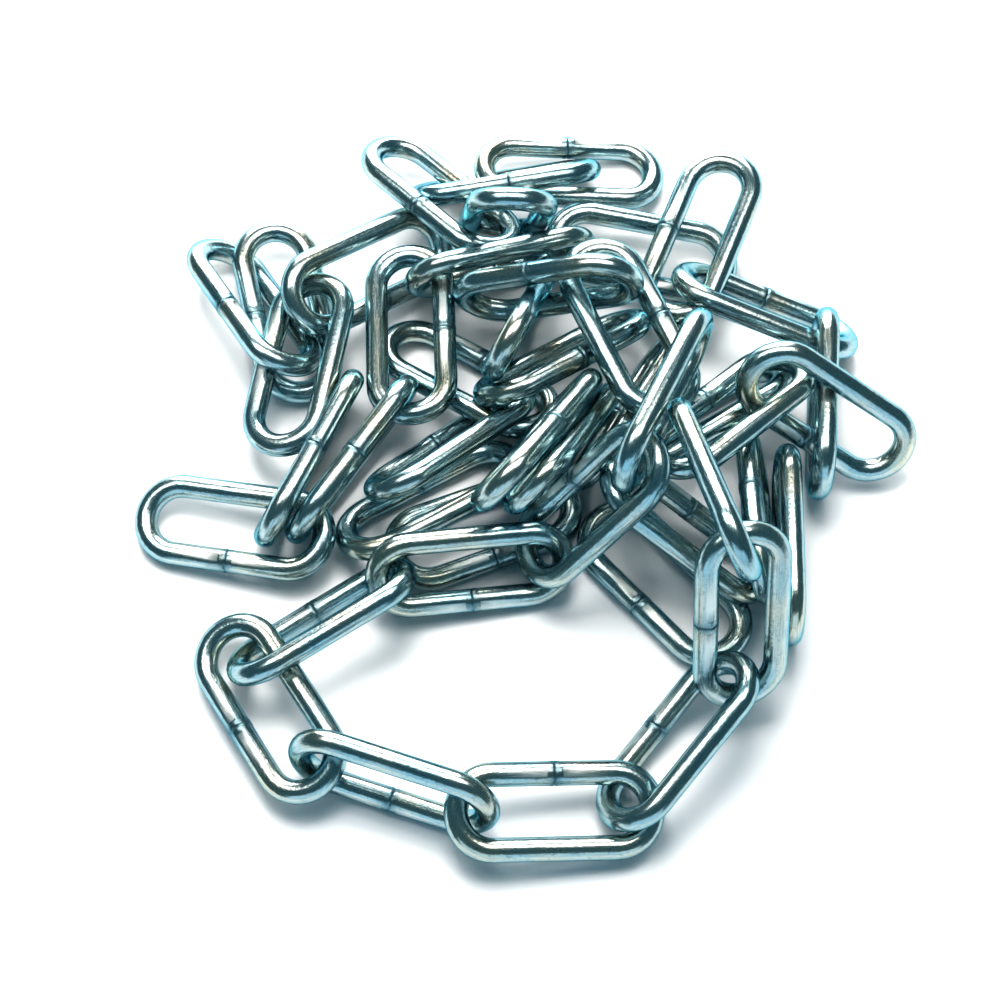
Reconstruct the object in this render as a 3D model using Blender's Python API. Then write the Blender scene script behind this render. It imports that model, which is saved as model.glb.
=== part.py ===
"""Heap of welded long-link steel chain, 5 mm wire by 35 mm pitch, as it lies on a level floor.

READINGS says how each link lies, read by eye from one photograph: where its two crown ends are, how high
they are and how far it rolls. OVER says which wire passes over which where two of them cross in the
photograph, and HOOKS which links are hooked through each other. Heap turns all of this into real places:
first along the lines of sight, then with the wires grown to their full size so that no two touch.
Lengths are millimetres until the links become Blender objects.
"""

from collections import namedtuple

import bmesh
import bpy
import numpy as np
from mathutils import Matrix, Vector

# The chain: DIN 763 long link, 5 mm
WIRE_DIAMETER = 5.0
PITCH = 35.0
INNER_WIDTH = 10.0

CROWN_RADIUS = (INNER_WIDTH + WIRE_DIAMETER) / 2
APEX = (PITCH + WIRE_DIAMETER) / 2
LEG_HALF = APEX - CROWN_RADIUS
MM = 0.001

# The wire's mesh has eight sides, and its corners stand out this far
WIRE_SIDES = 8
WIRE_CORNER = 2.58
CROWN_STEPS = 6
WELD_HALF = 1.3
WELD_CORNER = 2.4

# The floor carries a wire's middle at this height, and two wires' middles keep this far apart
FLOOR = WIRE_DIAMETER / 2
APART = 5.5
SLACK = 0.05

# The camera that took the photograph, found from the known size of the flat links
DOWN_ANGLE = np.radians(66.0)
DISTANCE = 430.0
FOCAL_PX = 1960.0
CENTRE_PX = np.array([500.0, 500.0])
FORWARD = np.array([0.0, np.cos(DOWN_ANGLE), -np.sin(DOWN_ANGLE)])
IMAGE_DOWN = np.array([0.0, -np.sin(DOWN_ANGLE), -np.cos(DOWN_ANGLE)])
EYE = -DISTANCE * FORWARD

# A link turns about its own axes less readily than it shifts: its squared radii of gyration
GYRATION = np.array([45.0, 190.0, 225.0])

# end_a and end_b are the crown ends in pixels, heights are theirs above the floor, roll is in degrees
# (0 flat, 90 with its edge towards the camera), weld is the pixel of the weld where it shows, and wire is
# pixels on the legs.
Reading = namedtuple("Reading", "end_a end_b heights roll weld wire")
ON_EDGE = 90

READINGS = {
    # Left: the long flat link, the two that hook it, and the one over them
    "left_1": Reading((141, 515), (319, 538), (2.5, 3), 0, (213, 560),
        [(180, 487), (250, 499), (180, 550), (250, 568)]),
    "left_2": Reading((268, 528), (356, 392), (6, 18), ON_EDGE, None, []),
    "left_3": Reading((298, 540), (403, 394), (6, 24), ON_EDGE, None, []),
    "left_4": Reading((404, 254), (412, 414), (24, 16), 10, (441, 321),
        [(371, 290), (379, 380), (437, 275), (443, 350)]),
    # Upper left corner: one link with three hooked to it
    "corner_1": Reading((201, 264), (316, 352), (14, 9), 20, None,
        [(204, 275), (230, 308), (256, 341), (228, 258), (268, 285)]),
    "corner_2": Reading((277, 244), (290, 388), (14, 3), 0, None,
        [(247, 262), (252, 310), (258, 370), (308, 265)]),
    "corner_3": Reading((313, 292), (284, 443), (10, 13), 10, None,
        [(283, 315), (264, 400), (336, 310), (332, 350), (322, 395)]),
    "corner_4": Reading((306, 300), (432, 222), (18, 8), 70, None, [(333, 256), (365, 241), (400, 230)]),
    # Back edge
    "back_1": Reading((478, 178), (651, 174), (4, 4), -10, (560, 150),
        [(500, 158), (560, 152), (610, 151), (600, 197), (640, 193)]),
    "back_2": Reading((427, 203), (583, 172), (20, 5), ON_EDGE, (508, 184), [(475, 190), (542, 174)]),
    "back_3": Reading((394, 172), (505, 250), (5, 24), 50, (408, 192),
        [(408, 192), (433, 213), (462, 228), (455, 181), (508, 228)]),
    "back_4": Reading((511, 211), (508, 250), (38, 2), 0, None, [(477, 224), (535, 226)]),
    "back_5": Reading((573, 230), (738, 268), (20, 6), 60, None, [(600, 207), (655, 224), (705, 246)]),
    # Right edge
    "right_1": Reading((718, 172), (650, 325), (12, 8), 0, (668, 248),
        [(697, 188), (674, 222), (655, 255), (740, 205), (728, 240), (708, 280)]),
    "right_2": Reading((681, 275), (846, 345), (16, 12), -10, (769, 301),
        [(750, 288), (790, 306), (830, 325), (700, 303), (750, 327)]),
    "right_3": Reading((821, 325), (820, 485), (16, 5), ON_EDGE, None, [(820, 400)]),
    "right_4": Reading((752, 368), (888, 450), (26, 3), 10, None,
        [(800, 347), (850, 384), (885, 412), (865, 475), (835, 465), (788, 434)]),
    "right_5": Reading((788, 385), (672, 470), (30, 3), 60, None, [(775, 413), (740, 432), (705, 452)]),
    # Front edge, from the left
    "front_1": Reading((222, 634), (312, 782), (12, 6), 0, None,
        [(214, 690), (233, 725), (256, 757), (300, 678), (314, 700), (333, 732)]),
    "front_2": Reading((234, 674), (392, 574), (6, 16), 75, (300, 620),
        [(285, 630), (350, 588), (265, 668), (380, 590)]),
    "front_3": Reading((364, 580), (563, 560), (22, 20), 10, (463, 603),
        [(400, 543), (450, 537), (500, 531), (540, 529), (400, 603), (460, 600), (530, 590)]),
    "front_4": Reading((619, 809), (738, 684), (8, 8), 40, (654, 740),
        [(641, 752), (660, 731), (684, 698), (690, 765), (725, 725), (747, 692)]),
    "front_5": Reading((742, 518), (735, 720), (20, 4), 0, (704, 617),
        [(705, 600), (700, 650), (701, 685), (777, 560), (779, 600), (772, 650)]),
    "front_6": Reading((461, 805), (661, 812), (6, 6), 25, (556, 771),
        [(470, 775), (558, 765), (600, 772), (600, 846), (475, 848), (645, 840)]),
    "front_7": Reading((296, 760), (486, 818), (8, 8), 75, (375, 797),
        [(350, 750), (457, 782), (375, 797)]),
    # Crest
    "crest_1": Reading((406, 274), (598, 234), (26, 18), 55, None,
        [(440, 248), (500, 244), (560, 242), (440, 262)]),
    "crest_2": Reading((440, 312), (608, 276), (18, 24), 30, (500, 280),
        [(450, 297), (500, 280), (555, 264), (500, 316), (555, 302)]),
    "crest_3": Reading((598, 248), (680, 400), (20, 18), 0, (662, 322),
        [(627, 262), (650, 300), (667, 330), (574, 300), (598, 350), (620, 395)]),
    "crest_4": Reading((627, 466), (692, 340), (38, 24), ON_EDGE, None, []),
    "crest_5": Reading((548, 562), (650, 446), (6, 32), 0, (567, 485),
        [(600, 457), (567, 485), (540, 512), (664, 472), (640, 497), (612, 530)]),
    "crest_6": Reading((682, 434), (742, 548), (4, 22), ON_EDGE, None, []),
    "crest_7": Reading((508, 505), (586, 390), (26, 12), ON_EDGE, (552, 433), [(552, 430)]),
    "crest_8": Reading((385, 502), (530, 398), (14, 12), ON_EDGE, None, [(450, 470), (482, 448)]),
    "crest_9": Reading((478, 397), (645, 312), (18, 18), ON_EDGE, (565, 342), [(520, 375), (565, 348)]),
    "crest_10": Reading((508, 358), (538, 290), (30, 4), ON_EDGE, None, [(522, 325)]),
    # Between and under the others
    "low_1": Reading((381, 348), (551, 408), (12, 20), 20, (475, 358),
        [(400, 337), (470, 356), (500, 368), (460, 411), (492, 425), (540, 430)]),
    "low_2": Reading((350, 530), (506, 458), (13, 6), 0, (410, 466), [(345, 515), (400, 469), (450, 445)]),
    "low_3": Reading((399, 556), (570, 500), (5, 8), 0, (510, 558),
        [(405, 522), (450, 503), (500, 487), (410, 570), (440, 581), (500, 562)]),
    "low_4": Reading((520, 490), (606, 414), (24, 3), ON_EDGE, None, [(580, 435)]),
    "low_5": Reading((611, 465), (748, 588), (12, 6), 30, (699, 516),
        [(650, 520), (698, 557), (665, 480), (712, 528)]),
    "low_6": Reading((594, 522), (748, 630), (2.5, 2.5), 0, None,
        [(665, 540), (695, 565), (655, 617), (690, 640), (722, 650)]),
    "low_7": Reading((632, 450), (765, 380), (6, 4), ON_EDGE, None, [(703, 405)]),
    "low_8": Reading((748, 441), (757, 600), (14, 4), ON_EDGE, None, [(751, 480)]),
    "low_9": Reading((776, 460), (762, 630), (8, 3), ON_EDGE, None, [(770, 505)]),
    "low_10": Reading((668, 350), (600, 470), (10, 4), 70, None, [(645, 390), (632, 410)]),
}

# Links that are hooked through each other
HOOKS = [
    ("left_1", "left_2"),
    ("left_1", "left_3"),
    ("left_3", "left_4"),
    ("left_4", "crest_1"),
    ("crest_1", "back_5"),
    ("corner_1", "corner_2"),
    ("corner_1", "corner_3"),
    ("corner_4", "corner_3"),
    ("back_1", "back_2"),
    ("back_2", "back_3"),
    ("back_3", "back_4"),
    ("right_1", "right_2"),
    ("right_2", "right_3"),
    ("right_3", "right_4"),
    ("right_4", "right_5"),
    ("crest_2", "crest_3"),
    ("crest_5", "crest_4"),
    ("crest_5", "front_3"),
    ("front_3", "front_2"),
    ("front_2", "front_1"),
    ("front_1", "front_7"),
    ("front_7", "front_6"),
    ("front_6", "front_4"),
    ("front_4", "front_5"),
    ("front_5", "crest_6"),
    ("crest_8", "low_1"),
    ("crest_2", "crest_10"),
]

# The first link's wire passes over the second's near this pixel
OVER = [
    ("left_2", "left_1", (268, 503)),
    ("left_1", "left_2", (288, 508)),
    ("left_3", "left_1", (303, 508)),
    ("left_1", "left_3", (316, 515)),
    ("left_2", "corner_3", (322, 410)),
    ("left_3", "left_4", (388, 400)),
    ("left_4", "left_3", (405, 415)),
    ("crest_1", "left_4", (430, 250)),
    ("left_4", "crest_1", (437, 292)),
    ("left_4", "low_1", (442, 348)),
    ("left_4", "low_1", (376, 345)),
    ("left_4", "corner_4", (378, 255)),
    ("corner_4", "corner_3", (303, 299)),
    ("corner_3", "corner_4", (325, 293)),
    ("corner_2", "corner_1", (249, 268)),
    ("corner_1", "corner_2", (256, 337)),
    ("corner_1", "corner_3", (268, 349)),
    ("corner_3", "corner_1", (284, 308)),
    ("corner_3", "corner_1", (326, 345)),
    ("corner_3", "corner_2", (268, 385)),
    ("corner_4", "corner_2", (305, 290)),
    ("corner_3", "corner_2", (300, 297)),
    ("back_2", "back_1", (486, 184)),
    ("back_1", "back_2", (494, 196)),
    ("back_2", "back_3", (458, 186)),
    ("back_3", "back_2", (462, 196)),
    ("back_3", "back_2", (436, 207)),
    ("back_3", "back_2", (441, 214)),
    ("back_3", "corner_4", (425, 225)),
    ("back_4", "back_3", (490, 211)),
    ("back_3", "back_4", (472, 232)),
    ("crest_1", "back_3", (472, 240)),
    ("crest_1", "back_4", (478, 246)),
    ("crest_1", "back_4", (543, 244)),
    ("crest_1", "back_5", (568, 234)),
    ("back_5", "crest_1", (572, 248)),
    ("right_1", "back_5", (674, 230)),
    ("right_1", "back_5", (726, 250)),
    ("right_2", "back_5", (742, 283)),
    ("right_1", "right_2", (702, 262)),
    ("right_2", "right_1", (703, 300)),
    ("crest_3", "right_1", (650, 290)),
    ("right_2", "right_3", (820, 322)),
    ("right_3", "right_2", (820, 350)),
    ("right_4", "right_3", (820, 362)),
    ("right_3", "right_4", (820, 457)),
    ("right_4", "right_2", (775, 338)),
    ("right_5", "right_4", (760, 424)),
    ("right_4", "right_5", (742, 400)),
    ("right_4", "low_7", (742, 390)),
    ("crest_2", "crest_3", (574, 262)),
    ("crest_3", "crest_2", (575, 298)),
    ("crest_10", "crest_2", (522, 304)),
    ("crest_2", "crest_10", (530, 314)),
    ("crest_2", "back_4", (480, 286)),
    ("crest_2", "back_4", (536, 270)),
    ("crest_4", "crest_3", (680, 372)),
    ("crest_4", "crest_5", (640, 440)),
    ("crest_5", "crest_4", (660, 452)),
    ("crest_3", "crest_9", (590, 338)),
    ("crest_9", "crest_10", (513, 368)),
    ("crest_9", "low_1", (525, 378)),
    ("crest_8", "low_1", (496, 418)),
    ("low_1", "crest_8", (506, 434)),
    ("crest_8", "low_2", (485, 440)),
    ("crest_7", "low_3", (512, 485)),
    ("crest_7", "low_1", (556, 408)),
    ("crest_7", "low_4", (560, 452)),
    ("crest_3", "low_4", (618, 400)),
    ("crest_5", "low_4", (600, 447)),
    ("front_3", "low_2", (372, 548)),
    ("front_3", "low_3", (398, 546)),
    ("front_3", "crest_7", (505, 520)),
    ("crest_8", "low_3", (405, 505)),
    ("crest_5", "front_3", (548, 572)),
    ("crest_5", "front_3", (585, 560)),
    ("front_3", "crest_5", (545, 530)),
    ("front_2", "front_3", (364, 590)),
    ("front_3", "front_2", (385, 560)),
    ("front_3", "front_2", (378, 545)),
    ("front_2", "front_1", (275, 660)),
    ("front_1", "front_2", (262, 645)),
    ("front_7", "front_1", (330, 760)),
    ("front_1", "front_7", (330, 745)),
    ("front_7", "front_6", (462, 785)),
    ("front_6", "front_7", (480, 830)),
    ("front_4", "front_6", (655, 805)),
    ("front_6", "front_4", (640, 775)),
    ("front_5", "front_4", (695, 690)),
    ("front_4", "front_5", (735, 705)),
    ("crest_6", "front_5", (742, 520)),
    ("front_5", "crest_6", (742, 545)),
    ("crest_4", "crest_6", (672, 432)),
    ("crest_4", "low_7", (668, 420)),
    ("crest_6", "right_5", (700, 462)),
    ("crest_6", "low_5", (700, 480)),
    ("crest_5", "low_6", (605, 545)),
    ("crest_5", "low_5", (640, 500)),
    ("front_5", "low_6", (703, 572)),
    ("front_5", "low_5", (706, 570)),
    ("front_3", "low_6", (565, 560)),
    ("low_5", "low_6", (690, 560)),
    ("front_5", "low_6", (701, 645)),
    ("left_2", "corner_3", (320, 418)),
    ("crest_4", "crest_3", (690, 380)),
    ("right_5", "low_8", (750, 430)),
    ("crest_6", "low_8", (745, 500)),
    ("front_5", "low_8", (757, 525)),
    ("front_5", "low_9", (766, 525)),
    ("crest_3", "low_10", (660, 365)),
    ("crest_4", "low_10", (635, 430)),
    ("crest_5", "low_10", (620, 450)),
]

# How the heap is found: steps of each stage, and the gap that crossing wires keep along the line of sight
ORDER_STEPS = 400
HEIGHT_STEPS = 100
CHOOSING_STEPS = (20, 40, 60, 90)
GROW_STEPS = 400
SETTLE_STEPS = 100
CLEAR_STEPS = 600
ORDER_GAP = 5.7
LABEL_REACH_PX = 35
HOOK_STRETCH = (4.0, 13.0)
HOOK_PLAY = 2.0
CONTACT_STRENGTH = 1.5
MOST_WEIGHT = 8

# How much of each pull is taken in one step, and how far the links sink or fall in one, in millimetres
PHOTO_PULL = 0.8
HEIGHT_PULL = 0.02
ORDER_PULL = 0.8
HOOK_PULL = 0.25
EDGE_PULL = 0.1
LAST_EDGE_PULL = 0.05
SINK_STEP = 0.15
GROW_PHOTO_PULL = 0.56
LAST_PHOTO_PULL = 0.13
GROW_ORDER_PULL = 0.4
GROW_SINK_STEP = 0.06
GROW_PARTS = 4
THIN = 1.0
SETTLE_PHOTO_PULL = 0.06
FALL_STEP = 0.03
SETTLE_PARTS = 8


def in_photo(points):
    """Pixels of points in space."""
    seen = np.asarray(points) - EYE
    depth = seen @ FORWARD
    return CENTRE_PX + FOCAL_PX * np.stack([seen[..., 0] / depth, seen @ IMAGE_DOWN / depth], -1)


def sight(pixels):
    """Unit vectors from the eye through pixels."""
    across, down = np.moveaxis((np.asarray(pixels, float) - CENTRE_PX) / FOCAL_PX, -1, 0)
    line = across[..., None] * np.array([1.0, 0, 0]) + down[..., None] * IMAGE_DOWN + FORWARD
    return line / np.linalg.norm(line, axis=-1, keepdims=True)


def at_height(pixel, height):
    """The point at this height that the photograph shows at this pixel."""
    line = sight(pixel)
    return EYE + line * ((height - EYE[2]) / line[2])


def centreline(leg_steps, crown_steps):
    """A closed link's wire middle, in its own axes: X along the legs, Y across."""
    along = np.linspace(-LEG_HALF, LEG_HALF, leg_steps, endpoint=False)
    angle = np.linspace(-np.pi / 2, np.pi / 2, crown_steps, endpoint=False)
    leg = np.stack([along, np.full(leg_steps, -CROWN_RADIUS)], 1)
    crown = np.stack([LEG_HALF + CROWN_RADIUS * np.cos(angle), CROWN_RADIUS * np.sin(angle)], 1)
    half = np.concatenate([leg, crown])
    return np.pad(np.concatenate([half, -half]), ((0, 0), (0, 1)))


def lying(start, end, roll):
    """Axes, as columns, of a link from start to end that rolls by this angle from flat."""
    along = (end - start) / np.linalg.norm(end - start)
    across = np.cross([0, 0, 1.0], along)
    across /= np.linalg.norm(across)
    across = np.cos(roll) * across + np.sin(roll) * np.cross(along, across)
    return np.stack([along, across, np.cross(along, across)], 1)


def closest_points(start_a, step_a, start_b, step_b):
    """Closest points of pairs of straight stretches."""
    between = start_a - start_b
    aa, bb, ab = (step_a**2).sum(-1), (step_b**2).sum(-1), (step_a * step_b).sum(-1)
    a_off, b_off = (step_a * between).sum(-1), (step_b * between).sum(-1)
    share = np.clip((ab * b_off - a_off * bb) / np.maximum(aa * bb - ab**2, 1e-9), 0, 1)
    other = np.clip((ab * share + b_off) / bb, 0, 1)
    share = np.clip((ab * other - a_off) / aa, 0, 1)
    return start_a + step_a * share[:, None], start_b + step_b * other[:, None]


LINE = centreline(5, CROWN_STEPS)
SHORT_LINE = centreline(8, 9)
FINE_LINE = centreline(10, 10)


class Heap:
    """All links as rigid bodies, each with a place and its own axes."""

    def __init__(self):
        self.names = list(READINGS)
        self.count = len(self.names)
        self.index = {name: i for i, name in enumerate(self.names)}
        ends = [
            (at_height(r.end_a, r.heights[0]), at_height(r.end_b, r.heights[1]), np.radians(r.roll))
            for r in READINGS.values()
        ]
        self.place = np.array([(a + b) / 2 for a, b, _ in ends])
        self.axes = np.array([lying(a, b, roll) for a, b, roll in ends])
        self.pairs = np.triu_indices(self.count, 1)
        self.hooked = {frozenset(pair) for pair in HOOKS}
        self.hook_ends = [self.nearest_ends(a, b) for a, b in HOOKS]
        self.labels = {}
        for over, under, pixel in OVER:
            self.labels.setdefault(frozenset((over, under)), []).append((over, under, np.array(pixel)))
        self.upper = {}

    def nearest_ends(self, a, b):
        """Which ends of two hooked links face each other, as (link, link, sign, sign)."""
        i, j = self.index[a], self.index[b]
        signs = [(p, q) for p in (-1, 1) for q in (-1, 1)]
        gaps = [np.linalg.norm(self.apex(i, p) - self.apex(j, q)) for p, q in signs]
        return (i, j, *signs[int(np.argmin(gaps))])

    def apex(self, link, sign):
        return self.place[link] + sign * APEX * self.axes[link][:, 0]

    def wires(self, line):
        return np.einsum("nij,mj->nmi", self.axes, line) + self.place[:, None]

    def move(self, who, where, by, weight, strength):
        """Shifts and turns each link by the weighted mean of what the moves of its points ask."""
        if not len(who):
            return
        length = np.linalg.norm(by, axis=1)
        way = by / np.maximum(length, 1e-9)[:, None]
        lever = np.cross(where - self.place[who], way)
        own = np.einsum("kji,kj->ki", self.axes[who], lever)
        response = length / (1 + (own**2 / GYRATION).sum(1))
        shift = way * response[:, None]
        turn = np.einsum("kij,kj->ki", self.axes[who], own / GYRATION) * response[:, None]
        total = np.bincount(who, weights=weight, minlength=self.count) + 1e-12
        mean = [
            np.bincount(who, weights=column * weight, minlength=self.count) / total * strength
            for column in (*shift.T, *turn.T)
        ]
        self.place = self.place + np.stack(mean[:3], 1)
        self.turn(np.stack(mean[3:], 1))

    def turn(self, by):
        """Turns the links about vectors whose length is the angle."""
        angle = np.maximum(np.linalg.norm(by, axis=1), 1e-12)
        x, y, z = (by / angle[:, None]).T
        zero = np.zeros_like(x)
        cross = np.stack([zero, -z, y, z, zero, -x, -y, x, zero], 1).reshape(-1, 3, 3)
        sine, rest = np.sin(angle)[:, None, None], 1 - np.cos(angle)[:, None, None]
        self.axes = (np.eye(3) + sine * cross + rest * cross @ cross) @ self.axes

    def follow_photo(self, strength):
        """Pulls crown ends and legs onto the lines of sight of their pixels."""
        shown = in_photo(self.wires(FINE_LINE))
        who, own, pixels = [], [], []
        for i, reading in enumerate(READINGS.values()):
            marks = np.array([reading.end_a, reading.end_b, *reading.wire], float)
            near = [int(np.argmin(((shown[i] - mark) ** 2).sum(1))) for mark in marks[2:]]
            own += [(-APEX, 0, 0), (APEX, 0, 0), *FINE_LINE[near]]
            pixels += list(marks)
            who += [i] * len(marks)
        who = np.array(who)
        where = np.einsum("kij,kj->ki", self.axes[who], np.array(own)) + self.place[who]
        line = sight(pixels)
        reach = ((where - EYE) * line).sum(1, keepdims=True)
        self.move(who, where, EYE + line * reach - where, np.ones(len(who)), strength)

    def follow_heights(self, strength):
        """Pulls crown ends to the heights that READINGS gives."""
        who = np.repeat(np.arange(self.count), 2)
        where = np.array([self.apex(i, sign) for i in range(self.count) for sign in (-1, 1)])
        wanted = np.array([r.heights for r in READINGS.values()]).reshape(-1)
        by = np.zeros_like(where)
        by[:, 2] = wanted - where[:, 2]
        self.move(who, where, by, np.ones(len(who)), strength)

    def follow_edges(self, strength):
        """Rolls the links that the photograph shows from their edge until the camera sees that edge."""
        who = [i for i, reading in enumerate(READINGS.values()) if reading.roll == ON_EDGE]
        along, across = self.axes[who][:, :, 0], self.axes[who][:, :, 1]
        line = self.place[who] - EYE
        wanted = line - along * (line * along).sum(1, keepdims=True)
        wanted /= np.linalg.norm(wanted, axis=1, keepdims=True)
        wanted *= np.sign((wanted * across).sum(1, keepdims=True))
        by = np.zeros_like(self.place)
        by[who] = np.cross(across, wanted) * strength
        self.turn(by)

    def crossings(self):
        """Where two links' wires cross in the photograph: both links, both points and the pixel."""
        wires = self.wires(SHORT_LINE)
        shown = in_photo(wires)
        low, high = shown.min(1), shown.max(1)
        i, j = self.pairs
        near = ((low[i] < high[j]) & (low[j] < high[i])).all(1)
        i, j = i[near], j[near]
        steps, turns = np.roll(shown, -1, 1) - shown, np.roll(wires, -1, 1) - wires
        step_i, step_j = steps[i][:, :, None], steps[j][:, None]
        between = shown[j][:, None] - shown[i][:, :, None]
        area = step_i[..., 0] * step_j[..., 1] - step_i[..., 1] * step_j[..., 0]
        area = np.where(np.abs(area) < 1e-9, 1e-9, area)
        on_i = (between[..., 0] * step_j[..., 1] - between[..., 1] * step_j[..., 0]) / area
        on_j = (between[..., 0] * step_i[..., 1] - between[..., 1] * step_i[..., 0]) / area
        pair, a, b = np.nonzero((on_i >= 0) & (on_i < 1) & (on_j >= 0) & (on_j < 1))
        i, j = i[pair], j[pair]
        share_i, share_j = on_i[pair, a, b][:, None], on_j[pair, a, b][:, None]
        pixel = shown[i, a] + steps[i, a] * share_i
        return i, j, wires[i, a] + turns[i, a] * share_i, wires[j, b] + turns[j, b] * share_j, pixel

    def order_of(self, i, j, pixel, depth, choose):
        """+1 where the first link passes over, -1 where the second does, 0 where it doesn't matter."""
        order = np.zeros(len(i))
        groups = {}
        for k, pair in enumerate(zip(i, j)):
            groups.setdefault(pair, []).append(k)
        for (a, b), members in groups.items():
            pair = frozenset((self.names[a], self.names[b]))
            rest = list(members)
            labels = self.labels.get(pair, [])
            for over, _, mark in labels:
                gaps = [np.linalg.norm(pixel[k] - mark) for k in rest]
                if gaps and min(gaps) < LABEL_REACH_PX:
                    order[rest.pop(int(np.argmin(gaps)))] = 1 if over == self.names[a] else -1
            tops = {over for over, _, _ in labels}
            if pair in self.hooked or len(tops) > 1:
                continue
            if choose or pair not in self.upper:
                self.upper[pair] = self.names[a] if depth[members].mean() > 0 else self.names[b]
            top = tops.pop() if tops else self.upper[pair]
            order[rest] = 1 if top == self.names[a] else -1
        return order

    def follow_order(self, strength, choose):
        """Parts the wires along the line of sight wherever they cross in the wrong order or too close."""
        i, j, on_i, on_j, pixel = self.crossings()
        line = sight(pixel)
        depth = ((on_j - on_i) * line).sum(1)
        order = self.order_of(i, j, pixel, depth, choose)
        short = (order != 0) & (order * depth < ORDER_GAP)
        lack = (ORDER_GAP * order - depth)[short][:, None]
        by = line[short] * lack / 2
        weight = np.tile(np.minimum(np.abs(lack[:, 0]), MOST_WEIGHT) + 1, 2)
        who = np.concatenate([i[short], j[short]])
        where = np.concatenate([on_i[short], on_j[short]])
        self.move(who, where, np.concatenate([-by, by]), weight, strength)

    def follow_hooks(self, strength):
        """Pulls each hooked crown end into the opening of the other link."""
        who, where, by = [], [], []
        for a, b, sign_a, sign_b in self.hook_ends:
            for i, sign_i, j, sign_j in ((a, sign_a, b, sign_b), (b, sign_b, a, sign_a)):
                tip = self.apex(i, sign_i)
                along = self.axes[j][:, 0]
                reach = np.clip((tip - self.place[j]) @ along * sign_j, *HOOK_STRETCH) * sign_j
                seat = self.place[j] + along * reach
                gap = seat - tip
                far = np.linalg.norm(gap)
                if far > HOOK_PLAY:
                    gap *= (far - HOOK_PLAY) / far / 2
                    who += [i, j]
                    where += [tip, seat]
                    by += [gap, -gap]
        self.move(np.array(who, int), np.array(where), np.array(by), np.ones(len(who)), strength)

    def sink(self, distance):
        """Moves every link away from the eye, which the photograph can't tell."""
        line = self.place - EYE
        self.place = self.place + line / np.linalg.norm(line, axis=1, keepdims=True) * distance

    def part(self, apart, strength=CONTACT_STRENGTH):
        """Pushes wires apart and up off the floor, and returns by how much two still are too close."""
        wires = self.wires(LINE)
        steps = np.roll(wires, -1, 1) - wires
        i, j = self.pairs
        near = np.linalg.norm(self.place[i] - self.place[j], axis=1) < 2 * APEX + apart
        i, j = i[near], j[near]
        low = np.minimum(wires, wires + steps) - apart / 2
        high = np.maximum(wires, wires + steps) + apart / 2
        touch = (low[i][:, :, None] < high[j][:, None]) & (low[j][:, None] < high[i][:, :, None])
        pair, a, b = np.nonzero(touch.all(-1))
        i, j = i[pair], j[pair]
        on_i, on_j = closest_points(wires[i, a], steps[i, a], wires[j, b], steps[j, b])
        gap = on_i - on_j
        length = np.linalg.norm(gap, axis=1)
        close = length < apart
        lack = (apart - length)[close]
        by = gap[close] / np.maximum(length[close], 1e-6)[:, None] * lack[:, None] / 2
        deep = np.maximum(FLOOR - wires[..., 2], 0)
        link, point = np.nonzero(deep > 0)
        rise = np.zeros((len(link), 3))
        rise[:, 2] = deep[link, point]
        who = np.concatenate([i[close], j[close], link])
        where = np.concatenate([on_i[close], on_j[close], wires[link, point]])
        weight = np.concatenate([lack, lack, rise[:, 2]])
        self.move(who, where, np.concatenate([by, -by, rise]), weight, strength)
        return lack.max(initial=0.0)

    def steady(self):
        """Rounds the state, so that it comes out the same on every machine."""
        self.place = np.round(self.place, 6)
        self.axes = np.round(self.axes, 8)

    def find_order(self):
        """Lays the links by the photograph with wires of no thickness, and stacks them."""
        for step in range(ORDER_STEPS):
            self.follow_photo(PHOTO_PULL)
            if step < HEIGHT_STEPS:
                self.follow_heights(HEIGHT_PULL)
            self.follow_order(ORDER_PULL, step in CHOOSING_STEPS)
            self.follow_hooks(HOOK_PULL)
            self.sink(SINK_STEP)
            self.part(0.0, 1.0)
            self.steady()

    def grow(self):
        """Grows the wires to their full size, while the photograph's pull fades."""
        for step in range(GROW_STEPS):
            share = step / GROW_STEPS
            self.follow_photo(GROW_PHOTO_PULL * (1 - share) + LAST_PHOTO_PULL * share)
            self.follow_order(GROW_ORDER_PULL * (1 - share), False)
            self.follow_edges(EDGE_PULL * (1 - share) + LAST_EDGE_PULL * share)
            self.sink(GROW_SINK_STEP)
            for _ in range(GROW_PARTS):
                self.part(THIN + (APART - THIN) * share)
            self.steady()

    def settle(self):
        """Lets the links down onto each other, then clears what still touches."""
        for _ in range(SETTLE_STEPS):
            self.follow_photo(SETTLE_PHOTO_PULL)
            self.follow_edges(LAST_EDGE_PULL)
            self.place[:, 2] -= FALL_STEP
            for _ in range(SETTLE_PARTS):
                self.part(APART)
            self.steady()
        for _ in range(CLEAR_STEPS):
            if self.part(APART) < SLACK:
                break
            self.steady()


def spin_crown(model, ring, middle_x):
    """Carries the open end of the tube half a turn round a crown, and returns its new end."""
    spun = bmesh.ops.spin(
        model,
        geom=ring,
        cent=Vector((middle_x, 0, 0)),
        axis=Vector((0, 0, 1)),
        angle=np.pi,
        steps=CROWN_STEPS,
    )
    return spun["geom_last"]


def extend_leg(model, ring, by, widen=1.0):
    """Carries the open end of the tube along X and scales it, and returns its new end."""
    out = bmesh.ops.extrude_edge_only(model, edges=[e for e in ring if isinstance(e, bmesh.types.BMEdge)])
    verts = [v for v in out["geom"] if isinstance(v, bmesh.types.BMVert)]
    bmesh.ops.translate(model, verts=verts, vec=Vector((by, 0, 0)))
    middle = sum((v.co for v in verts), Vector()) / len(verts)
    for vert in verts:
        vert.co = middle + (vert.co - middle) * widen
    between = set(verts)
    edges = [e for e in out["geom"] if isinstance(e, bmesh.types.BMEdge) and set(e.verts) <= between]
    return verts + edges


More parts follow.
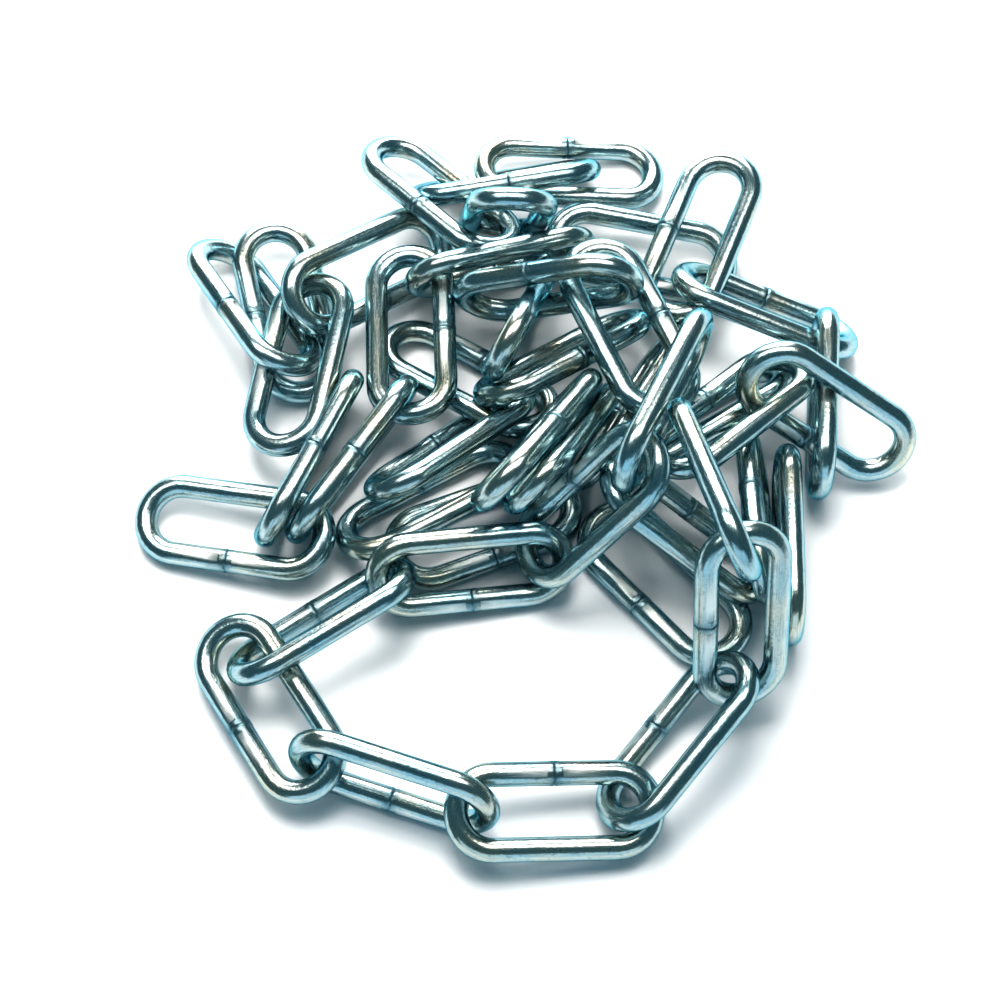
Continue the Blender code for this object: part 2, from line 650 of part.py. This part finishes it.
def link_mesh():
    """One closed link of eight-sided wire, with the groove of its weld in the middle of the -Y leg."""
    model = bmesh.new()
    around = Matrix.Rotation(np.pi / 2, 4, "Y") @ Matrix.Rotation(np.pi / WIRE_SIDES, 4, "Z")
    start = bmesh.ops.create_circle(
        model,
        segments=WIRE_SIDES,
        radius=WELD_CORNER * MM,
        matrix=Matrix.Translation((0, -CROWN_RADIUS * MM, 0)) @ around,
    )
    ring = start["verts"] + list({edge for vert in start["verts"] for edge in vert.link_edges})
    ring = extend_leg(model, ring, WELD_HALF * MM, WIRE_CORNER / WELD_CORNER)
    ring = extend_leg(model, ring, (LEG_HALF - WELD_HALF) * MM)
    ring = spin_crown(model, ring, LEG_HALF * MM)
    ring = extend_leg(model, ring, -2 * LEG_HALF * MM)
    ring = spin_crown(model, ring, -LEG_HALF * MM)
    ring = extend_leg(model, ring, (LEG_HALF - WELD_HALF) * MM)
    extend_leg(model, ring, WELD_HALF * MM, WELD_CORNER / WIRE_CORNER)
    bmesh.ops.remove_doubles(model, verts=model.verts, dist=MM / 1000)
    bmesh.ops.recalc_face_normals(model, faces=model.faces)
    mesh = bpy.data.meshes.new("chain_link")
    model.to_mesh(mesh)
    model.free()
    mesh.shade_smooth()
    return mesh


def bright_zinc():
    """Blue-bright zinc plating, as the photograph shows it."""
    material = bpy.data.materials.new("bright_zinc")
    material.use_nodes = True
    surface = material.node_tree.nodes["Principled BSDF"]
    surface.inputs["Base Color"].default_value = (0.42, 0.53, 0.57, 1)
    surface.inputs["Metallic"].default_value = 1.0
    surface.inputs["Roughness"].default_value = 0.25
    return material


def weld_to_its_leg(heap, link, weld):
    """Turns a link end for end where its weld shows on the other leg."""
    middles = heap.place[link] + CROWN_RADIUS * np.outer((-1, 1), heap.axes[link][:, 1])
    gaps = np.linalg.norm(in_photo(middles) - np.array(weld), axis=1)
    if gaps[1] < gaps[0]:
        heap.axes[link][:, :2] *= -1


def place_links(heap):
    """Makes one object for each link, with the heap's box centred over the origin on the floor."""
    mesh = link_mesh()
    mesh.materials.append(bright_zinc())
    corners = np.array([vert.co for vert in mesh.vertices]) / MM
    where = np.concatenate([heap.place[i] + corners @ heap.axes[i].T for i in range(heap.count)])
    low, high = where.min(0), where.max(0)
    base = np.array([(low[0] + high[0]) / 2, (low[1] + high[1]) / 2, low[2]])
    for i, name in enumerate(heap.names):
        link = bpy.data.objects.new("link_" + name, mesh)
        turn = Matrix(heap.axes[i]).to_quaternion().to_matrix().to_4x4()
        link.matrix_world = Matrix.Translation((heap.place[i] - base) * MM) @ turn
        bpy.context.scene.collection.objects.link(link)


def main():
    for thing in list(bpy.data.objects):
        bpy.data.objects.remove(thing)
    heap = Heap()
    heap.find_order()
    heap.grow()
    heap.settle()
    for link, reading in enumerate(READINGS.values()):
        if reading.weld:
            weld_to_its_leg(heap, link, reading.weld)
    place_links(heap)


main()
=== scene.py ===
# %% [markdown]
# # A heap of bright-zinc steel chain
#
# The real object is a length of long-link welded chain, dropped in a loose heap. Each link is one piece of
# drawn steel wire, 5 mm thick, that a machine bends into a long oval and closes with a butt weld in one leg.
# The finished chain is plated with zinc and dipped in a blue passivate, which gives it a cold, bright,
# slightly blue-green shine. In this lesson one link is modelled with bmesh operators, and one is laid
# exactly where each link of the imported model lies.

import math

import bmesh
import bpy
import numpy as np
from mathutils import Matrix, Vector, noise


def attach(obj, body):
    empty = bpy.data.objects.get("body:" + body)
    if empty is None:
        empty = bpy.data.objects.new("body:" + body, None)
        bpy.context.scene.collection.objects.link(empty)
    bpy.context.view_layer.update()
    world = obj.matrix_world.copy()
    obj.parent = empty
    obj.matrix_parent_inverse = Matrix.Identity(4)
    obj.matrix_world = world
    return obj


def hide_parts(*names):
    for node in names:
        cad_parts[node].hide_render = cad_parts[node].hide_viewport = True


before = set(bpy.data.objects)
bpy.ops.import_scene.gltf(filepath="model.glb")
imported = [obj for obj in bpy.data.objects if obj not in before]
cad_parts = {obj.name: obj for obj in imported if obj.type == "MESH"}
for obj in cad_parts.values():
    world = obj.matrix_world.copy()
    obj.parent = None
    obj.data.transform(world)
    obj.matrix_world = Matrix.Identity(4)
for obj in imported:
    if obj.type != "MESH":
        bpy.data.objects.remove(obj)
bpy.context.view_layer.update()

# %% [markdown]
# ## The sizes of a link
#
# The link is an oval: two straight legs joined by two half circles, which chain makers call the crowns. Only
# the wire, the pitch and the inner width are given, in millimetres, and the other lengths follow from them.
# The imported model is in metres, so a finished link is scaled by one value, MM.

# %% Name the lengths
MM = 0.001
WIRE_RADIUS = 2.5
PITCH = 35.0
INNER_WIDTH = 10.0
CROWN_RADIUS = INNER_WIDTH / 2 + WIRE_RADIUS
LEG_HALF = PITCH / 2 + WIRE_RADIUS - CROWN_RADIUS
WIRE_LENGTH = 4 * LEG_HALF + 2 * math.pi * CROWN_RADIUS
print("straight leg", 2 * LEG_HALF, "mm, wire in one link", round(WIRE_LENGTH, 1), "mm")

# %% [markdown]
# ## Where each link lies
#
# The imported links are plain: their wire has eight sides. Their places are right, though, so each new link
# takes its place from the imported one. The second moments of a closed oval's surface point along its legs,
# across them and square to both, whatever way it lies. The groove of the weld, which is in the middle of one
# leg only, says which leg is which.

# %% Read the place of a packed link
GROOVE_REACH = 0.3 * MM
# A link's own Z points to this side, and not to the other
UPWARD = np.array([0.0, -0.2, 1.0])


def pose_of(node):
    """The matrix that lays a link of its own axes, X along the legs and -Y at the weld, over a packed one."""
    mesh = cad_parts[node].data
    spots = np.array([v.co for v in mesh.vertices])
    corners = spots[np.array([p.vertices[:] for p in mesh.polygons])]
    area = np.linalg.norm(np.cross(corners[:, 1] - corners[:, 0], corners[:, 2] - corners[:, 0]), axis=1)
    middle = np.average(corners.mean(1), axis=0, weights=area)
    apart = corners - middle
    total = apart.sum(1)
    spread = np.einsum("n,ni,nj->ij", area, total, total) + np.einsum("n,nki,nkj->ij", area, apart, apart)
    square, across, _ = np.linalg.eigh(spread)[1].T
    square = square * np.sign(square @ UPWARD)
    along = np.cross(across, square)
    own = spots @ np.stack([along, across, square], 1)
    centre = (own.min(0) + own.max(0)) / 2
    own -= centre
    if own[np.abs(own[:, 0]) < GROOVE_REACH, 1].mean() > 0:
        across, along, centre = -across, -along, centre * (-1, -1, 1)
    turn = np.stack([along, across, square], 1)
    return Matrix.Translation(turn @ centre) @ Matrix(turn.tolist()).to_4x4()


nodes = sorted(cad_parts)
poses = {node: pose_of(node) for node in nodes}
highest = max(pose.translation.z for pose in poses.values())
print(len(poses), "links, the highest middle at", round(highest * 1000, 1), "mm")

# %% [markdown]
# ## One link
#
# A chain machine bends the wire round a mandrel, so the wire keeps its round section all the way. Spinning a
# circle about each crown's middle does the same. The ring starts at the weld, runs along half a leg, round a
# crown, back along the other leg, round the second crown and home, and the doubled points are then merged.
# The weld is where the two wire ends were pressed together while hot: a fine groove with a low collar of
# upset metal on both sides, and beyond it the flat marks of the electrodes that held the wire.

# %% Draw the weld's profile
WIRE_SIDES = 28
CROWN_STEPS = 18
# Distance from the middle of the weld, and how thick the wire is there, against its plain radius
WELD_PROFILE = ((0.0, 0.965), (0.13, 0.99), (0.3, 1.02), (0.65, 1.026), (1.05, 1.004), (1.5, 1.0))
# The electrode marks: where they start and end, how long their own ends are, and how high the wire is there
MARK_START = 1.5
MARK_END = 4.6
MARK_SLOPE = 0.2
MARK_HEIGHT = 2.33


def carry(model, ring, by, widen=1.0):
    """Carries the tube's open end along X, scales it and returns its new end."""
    edges = [e for e in ring if isinstance(e, bmesh.types.BMEdge)]
    out = bmesh.ops.extrude_edge_only(model, edges=edges)["geom"]
    verts = [v for v in out if isinstance(v, bmesh.types.BMVert)]
    new_edges = [e for e in out if isinstance(e, bmesh.types.BMEdge)]
    bmesh.ops.translate(model, verts=verts, vec=Vector((by, 0, 0)))
    middle = sum((v.co for v in verts), Vector()) / len(verts)
    bmesh.ops.scale(model, verts=verts, vec=(1, widen, widen), space=Matrix.Translation(-middle))
    return verts + [e for e in new_edges if set(e.verts) <= set(verts)]


def round_crown(model, ring, middle_x):
    """Carries the tube's open end half a turn round a crown and returns its new end."""
    spun = bmesh.ops.spin(
        model,
        geom=ring,
        cent=Vector((middle_x, 0, 0)),
        axis=Vector((0, 0, 1)),
        angle=math.pi,
        steps=CROWN_STEPS,
    )
    return spun["geom_last"]


def weld_half(model, ring, outward):
    """Runs the tube out of the weld to the end of the electrode mark, or back in from there."""
    stops = [*WELD_PROFILE, (MARK_START + MARK_SLOPE, 1.0), (MARK_END - MARK_SLOPE, 1.0), (MARK_END, 1.0)]
    if not outward:
        stops = [(-place, width) for place, width in reversed(stops)]
    for (place, width), (next_place, next_width) in zip(stops, stops[1:]):
        ring = carry(model, ring, next_place - place, next_width / width)
    return ring


def link_form():
    """A closed link of round wire, in millimetres, about its own axes."""
    model = bmesh.new()
    upright = Matrix.Rotation(math.pi / 2, 4, "Y")
    bmesh.ops.create_circle(
        model,
        segments=WIRE_SIDES,
        radius=WIRE_RADIUS * WELD_PROFILE[0][1],
        matrix=Matrix.Translation((0, -CROWN_RADIUS, 0)) @ upright,
    )
    ring = [*model.verts, *model.edges]
    ring = weld_half(model, ring, True)
    ring = carry(model, ring, LEG_HALF - MARK_END)
    ring = round_crown(model, ring, LEG_HALF)
    ring = carry(model, ring, -2 * LEG_HALF)
    ring = round_crown(model, ring, -LEG_HALF)
    ring = carry(model, ring, LEG_HALF - MARK_END)
    weld_half(model, ring, False)
    bmesh.ops.remove_doubles(model, verts=model.verts, dist=WIRE_RADIUS / 1000)
    bmesh.ops.recalc_face_normals(model, faces=model.faces)
    return model


trial = link_form()
print("one link has", len(trial.faces), "faces, open edges:", sum(e.is_boundary for e in trial.edges))
trial.free()

# %% [markdown]
# ## No two welds are alike
#
# The burr of a weld is rough, and a chain maker's tumbling only knocks its tips off. Noise that is read at
# another place for each link pushes the collar in and out. The electrode marks are made by pressing the wire
# flat above and below, which is a limit on how high its points may be. Each point also keeps where it is on
# the wire, as length along the wire and the two distances from the wire's middle. The finish needs that,
# because drawing streaks follow the wire round the crowns.

# %% Give each link its own weld and its own wire coordinates
WELD_REACH = 1.2
BURR_HEIGHT = 0.16
BURR_GRAIN = 1.3
DEEPEST_DENT = -0.3
SHARP_EDGE = math.radians(28)
# How far the noise is read from one link to the next, for the burr and along the wire
STRAY = Vector((17.3, 5.1, 9.7))
WIRE_STRAY = 1.37 * WIRE_LENGTH


def on_wire(spot):
    """Length along the wire from the weld, and the distances outward and upward from its middle."""
    x, y, z = spot
    side = math.copysign(1, x)
    quarter = LEG_HALF + math.pi / 2 * CROWN_RADIUS
    if abs(x) <= LEG_HALF:
        if y < 0:
            return (x if x >= 0 else WIRE_LENGTH + x), -y - CROWN_RADIUS, z
        return WIRE_LENGTH / 2 - x, y - CROWN_RADIUS, z
    bend = math.atan2(y, abs(x) - LEG_HALF) * side
    outward = math.hypot(y, abs(x) - LEG_HALF) - CROWN_RADIUS
    middle = quarter if side > 0 else WIRE_LENGTH - quarter
    return middle + bend * CROWN_RADIUS, outward, z


def weld_by_hand(model, number):
    """Roughens the collar of one link's weld, and presses and marks the electrode marks beside it."""
    mark = model.verts.layers.float.new("mark")
    for vert in model.verts:
        if vert.co.y > 0 or abs(vert.co.x) > MARK_END:
            continue
        middle = Vector((vert.co.x, -CROWN_RADIUS, 0))
        out = vert.co - middle
        near = max(0.0, 1 - abs(vert.co.x) / WELD_REACH)
        rough = noise.noise(vert.co * BURR_GRAIN + STRAY * number)
        vert.co += out.normalized() * BURR_HEIGHT * near * max(rough, DEEPEST_DENT)
        if MARK_START < abs(vert.co.x) < MARK_END and abs(vert.co.z) > MARK_HEIGHT:
            vert.co.z = math.copysign(MARK_HEIGHT, vert.co.z)
            vert[mark] = 1.0


def lay_link(node, number, finish):
    """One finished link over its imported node, with its place in its mesh."""
    model = link_form()
    wire = model.verts.layers.float_vector.new("wire")
    weld = model.verts.layers.float.new("weld")
    for vert in model.verts:
        along, outward, upward = on_wire(vert.co)
        vert[wire] = Vector((along + number * WIRE_STRAY, outward, upward))
        vert[weld] = max(0.0, 1 - min(along, WIRE_LENGTH - along) / (2 * WELD_REACH))
    weld_by_hand(model, number)
    for edge in model.edges:
        edge.smooth = edge.calc_face_angle(0) < SHARP_EDGE
    bmesh.ops.transform(model, matrix=poses[node] @ Matrix.Scale(MM, 4), verts=model.verts)
    mesh = bpy.data.meshes.new("welded_" + node)
    model.to_mesh(mesh)
    model.free()
    for face in mesh.polygons:
        face.use_smooth = True
    mesh.materials.append(finish)
    link = bpy.data.objects.new("welded_" + node, mesh)
    bpy.context.scene.collection.objects.link(link)
    return link


# %% [markdown]
# ## Colours and nodes
#
# Colours are written as sRGB hex values, as a picture editor shows them, and one function turns them to the
# linear values that a renderer adds up. One more function adds a node with its settings and its links.

# %% Colour and node helpers
def linear(hex_colour):
    """Linear red, green, blue and alpha of an sRGB hex colour."""
    parts = [int(hex_colour[i : i + 2], 16) / 255 for i in (1, 3, 5)]
    return (*[c / 12.92 if c <= 0.04045 else ((c + 0.055) / 1.055) ** 2.4 for c in parts], 1.0)


def add(tree, kind, settings, inputs):
    """Adds a node, sets its settings, and gives each named input a value or a link."""
    node = tree.nodes.new(kind)
    for key, value in settings.items():
        setattr(node, key, value)
    for key, value in inputs.items():
        if isinstance(value, bpy.types.NodeSocket):
            tree.links.new(value, node.inputs[key])
        else:
            node.inputs[key].default_value = value
    return node


# %% [markdown]
# ## Bright zinc
#
# Bright zinc plate is a thin mirror-like metal layer that follows the drawn wire below it. The blue passivate
# tints it, a little bluer here and a little yellower there, in patches about 14 mm long. The die leaves fine
# lines along the wire, and the plating shows them as darker scores. Between them it has fine dark specks and
# shallow pits. The electrodes' marks are paler and duller than the rest, and the burr of the weld is darker.
# All of it is noise that is read along the wire, so that scores follow the crowns. Die lines are a few
# hundredths of a millimetre apart, too fine for the picture, so they are drawn about 0.2 mm wide. Six short
# functions each add one kind of node, and bright_zinc joins the nodes up.

# %% Make the zinc finish
DIE_LINE = 0.2
DIE_RUN = 4.0
PIT_SIZE = 0.8
TINT_PATCH = 14.0
TINTS = ((0.3, "#9CBDC6"), (0.5, "#B3C5C7"), (0.7, "#C8C9BC"))
WORN = "#4A6A76"
PRESSED = "#DCE4E4"
BURNT = "#6F8D96"
EDGE_TINT = "#8CD2E4"
# The noise at which each effect starts and is full, and its strength at both
SCORES = (0.5, 0.68, 0.0, 0.35)
SPECKS = (0.55, 0.72, 0.0, 0.35)
POLISH = (0.35, 0.75, 0.16, 0.32)
WELD_DULLNESS = 0.15
MARK_DULLNESS = 0.2
PIT_STRENGTH, PIT_DEPTH = 0.6, 0.06 * MM
LINE_STRENGTH, LINE_DEPTH = 0.25, 0.04 * MM


def attribute(tree, name, output):
    """What each point of a link keeps under this name."""
    return add(tree, "ShaderNodeAttribute", {"attribute_name": name}, {}).outputs[output]


def noise_at(tree, place, scale, detail):
    """Noise at this place on the wire."""
    inputs = {"Vector": place, "Scale": scale, "Detail": detail}
    return add(tree, "ShaderNodeTexNoise", {}, inputs).outputs["Fac"]


def stretched(tree, value, start, full, least, most):
    """A value that grows from least to most while the given one grows from start to full."""
    inputs = {"Value": value, "From Min": start, "From Max": full, "To Min": least, "To Max": most}
    return add(tree, "ShaderNodeMapRange", {}, inputs).outputs[0]


def covered(tree, share, colour, cover):
    """A colour with a share of a second one over it."""
    inputs = {"Factor": share, "A": colour, "B": linear(cover)}
    return add(tree, "ShaderNodeMix", {"data_type": "RGBA"}, inputs).outputs["Result"]


def more(tree, share, factor, base):
    """The base value and a share of the factor on top."""
    inputs = {0: share, 1: factor, 2: base}
    return add(tree, "ShaderNodeMath", {"operation": "MULTIPLY_ADD"}, inputs).outputs[0]


def relief(tree, height, strength, depth, below):
    """Bump of this depth in metres, on top of the bump below it."""
    inputs = {"Height": height, "Strength": strength, "Distance": depth, **below}
    return add(tree, "ShaderNodeBump", {}, inputs).outputs["Normal"]


def bright_zinc():
    """The finish that all links share."""
    material = bpy.data.materials.new("blue_passivated_zinc_on_drawn_wire")
    material.use_nodes = True
    tree = material.node_tree
    shader = tree.nodes["Principled BSDF"]
    wire = attribute(tree, "wire", "Vector")
    weld = attribute(tree, "weld", "Fac")
    mark = attribute(tree, "mark", "Fac")
    run = (1 / DIE_RUN, 1 / DIE_LINE, 1 / DIE_LINE)
    lines = add(tree, "ShaderNodeMapping", {}, {"Vector": wire, "Scale": run})
    streaks = noise_at(tree, lines.outputs[0], 1.0, 3.0)
    pits = noise_at(tree, wire, 1 / PIT_SIZE, 2.0)
    patches = noise_at(tree, wire, 1 / TINT_PATCH, 1.0)

    tint = add(tree, "ShaderNodeValToRGB", {}, {"Fac": patches})
    tint.color_ramp.elements.new(TINTS[1][0])
    for stop, (place, colour) in zip(tint.color_ramp.elements, TINTS):
        stop.position = place
        stop.color = linear(colour)
    scores = stretched(tree, streaks, *SCORES)
    specks = stretched(tree, pits, *SPECKS)
    dark = add(tree, "ShaderNodeMath", {"operation": "MAXIMUM"}, {0: scores, 1: specks})
    worn = covered(tree, dark.outputs[0], tint.outputs["Color"], WORN)
    pressed = covered(tree, mark, worn, PRESSED)
    tree.links.new(covered(tree, weld, pressed, BURNT), shader.inputs["Base Color"])

    dull = more(tree, weld, WELD_DULLNESS, stretched(tree, streaks, *POLISH))
    tree.links.new(more(tree, mark, MARK_DULLNESS, dull), shader.inputs["Roughness"])

    grain = relief(tree, pits, PIT_STRENGTH, PIT_DEPTH, {})
    drawn = relief(tree, streaks, LINE_STRENGTH, LINE_DEPTH, {"Normal": grain})
    tree.links.new(drawn, shader.inputs["Normal"])
    shader.inputs["Metallic"].default_value = 1.0
    shader.inputs["Specular Tint"].default_value = linear(EDGE_TINT)
    return material


zinc = bright_zinc()
print("finish:", zinc.name, "with", len(zinc.node_tree.nodes), "nodes")

# %% [markdown]
# ## The heap
#
# Each new link rides on the one body, root, carries the name of the imported node that it stands for, and
# takes the zinc finish, and the imported node is hidden.

# %% Lay the links
for number, node in enumerate(nodes):
    piece = lay_link(node, number, zinc)
    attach(piece, "root")
    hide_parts(node)
print("laid", len(nodes), "links")

# %% [markdown]
# ## The floor
#
# The heap lies on a plain pale floor. Its light gives each wire the bright lower edge.

# %% Lay the floor
FLOOR_SIZE = 3.0
FLOOR_COLOUR = "#E0E8EE"
FLOOR_ROUGHNESS = 0.9


def pale_floor():
    """The floor's plain matt material."""
    material = bpy.data.materials.new("pale_matt_floor")
    material.use_nodes = True
    shader = material.node_tree.nodes["Principled BSDF"]
    shader.inputs["Base Color"].default_value = linear(FLOOR_COLOUR)
    shader.inputs["Roughness"].default_value = FLOOR_ROUGHNESS
    return material


form = bmesh.new()
bmesh.ops.create_grid(form, x_segments=1, y_segments=1, size=FLOOR_SIZE / 2)
floor_mesh = bpy.data.meshes.new("floor")
form.to_mesh(floor_mesh)
form.free()
floor_mesh.materials.append(pale_floor())
floor = bpy.data.objects.new("floor", floor_mesh)
bpy.context.scene.collection.objects.link(floor)
print("floor", FLOOR_SIZE, "m wide")

# %% [markdown]
# ## Light
#
# Bright metal shows its surroundings more than itself, so the lights are also what the wires reflect. A soft
# window stands behind the heap and gives each wire its long white strip. A small skylight hangs just above,
# so the front links see it behind them and the back links see it overhead. A dim card in front gives the
# lower sides their pale rim, and the dim room left between the three gives the dark lines. The floor would
# look grey by these lights alone. So a fourth one shines on it from above the back edge and throws the
# shadows forward, and the metal doesn't mirror that one.

# %% Hang the lights
WARM = "#FFF1E8"
ROOM_COLOUR = "#668A92"
ROOM_STRENGTH = 0.55


def soft_window(name, place, aim, width, height, radiance, colour, mirrored=True):
    """An area light of this brightness, which looks from its place towards its aim."""
    light = bpy.data.lights.new(name, "AREA")
    light.shape = "RECTANGLE"
    light.size, light.size_y = width, height
    light.energy = radiance * math.pi * width * height
    light.color = linear(colour)[:3]
    lamp = bpy.data.objects.new(name, light)
    lamp.location = place
    lamp.visible_glossy = mirrored
    lamp.rotation_euler = (Vector(aim) - Vector(place)).to_track_quat("-Z", "Y").to_euler()
    bpy.context.scene.collection.objects.link(lamp)


soft_window("back_window", (-0.1, 0.95, 0.5), (-0.1, 0, 0.5), 0.9, 0.9, 6.8, WARM)
soft_window("skylight", (-0.05, 0.08, 0.42), (-0.05, 0.0801, 0), 0.55, 0.22, 3.4, WARM)
soft_window("floor_light", (-0.05, 0.35, 0.85), (0, 0, 0), 0.4, 0.4, 13.0, "#FFF4EC", False)
soft_window("front_card", (0, -1.0, 0.3), (0, 0, 0.3), 1.6, 0.6, 0.8, "#DDF1FF")

world = bpy.data.worlds.new("dim_room")
world.use_nodes = True
world.node_tree.nodes["Background"].inputs["Color"].default_value = linear(ROOM_COLOUR)
world.node_tree.nodes["Background"].inputs["Strength"].default_value = ROOM_STRENGTH
bpy.context.scene.world = world
bpy.context.scene.view_settings.view_transform = "Standard"
bpy.context.scene.view_settings.look = "High Contrast"

# %% [markdown]
# ## The camera
#
# The photograph looks down on the heap at 66 degrees, from 430 mm away. The known size of the flat links
# gives both values and the lens.

# %% Set the camera
LOOK_DOWN = math.radians(66.0)
DISTANCE = 0.430
# The lens's length against the width of the sensor
FOCAL_SHARE = 1.96
SENSOR = 36.0
AIM = Vector((-0.00554, -0.00480, 0.00009))

camera = bpy.data.objects.new("camera", bpy.data.cameras.new("camera"))
camera.data.sensor_width = SENSOR
camera.data.lens = SENSOR * FOCAL_SHARE
camera.data.clip_start = 0.01
back = Vector((0, -math.cos(LOOK_DOWN), math.sin(LOOK_DOWN)))
camera.location = AIM + back * DISTANCE
camera.rotation_euler = (math.pi / 2 - LOOK_DOWN, 0, 0)
bpy.context.scene.collection.objects.link(camera)
bpy.context.scene.camera = camera
print("camera at", tuple(round(c, 3) for c in camera.location))
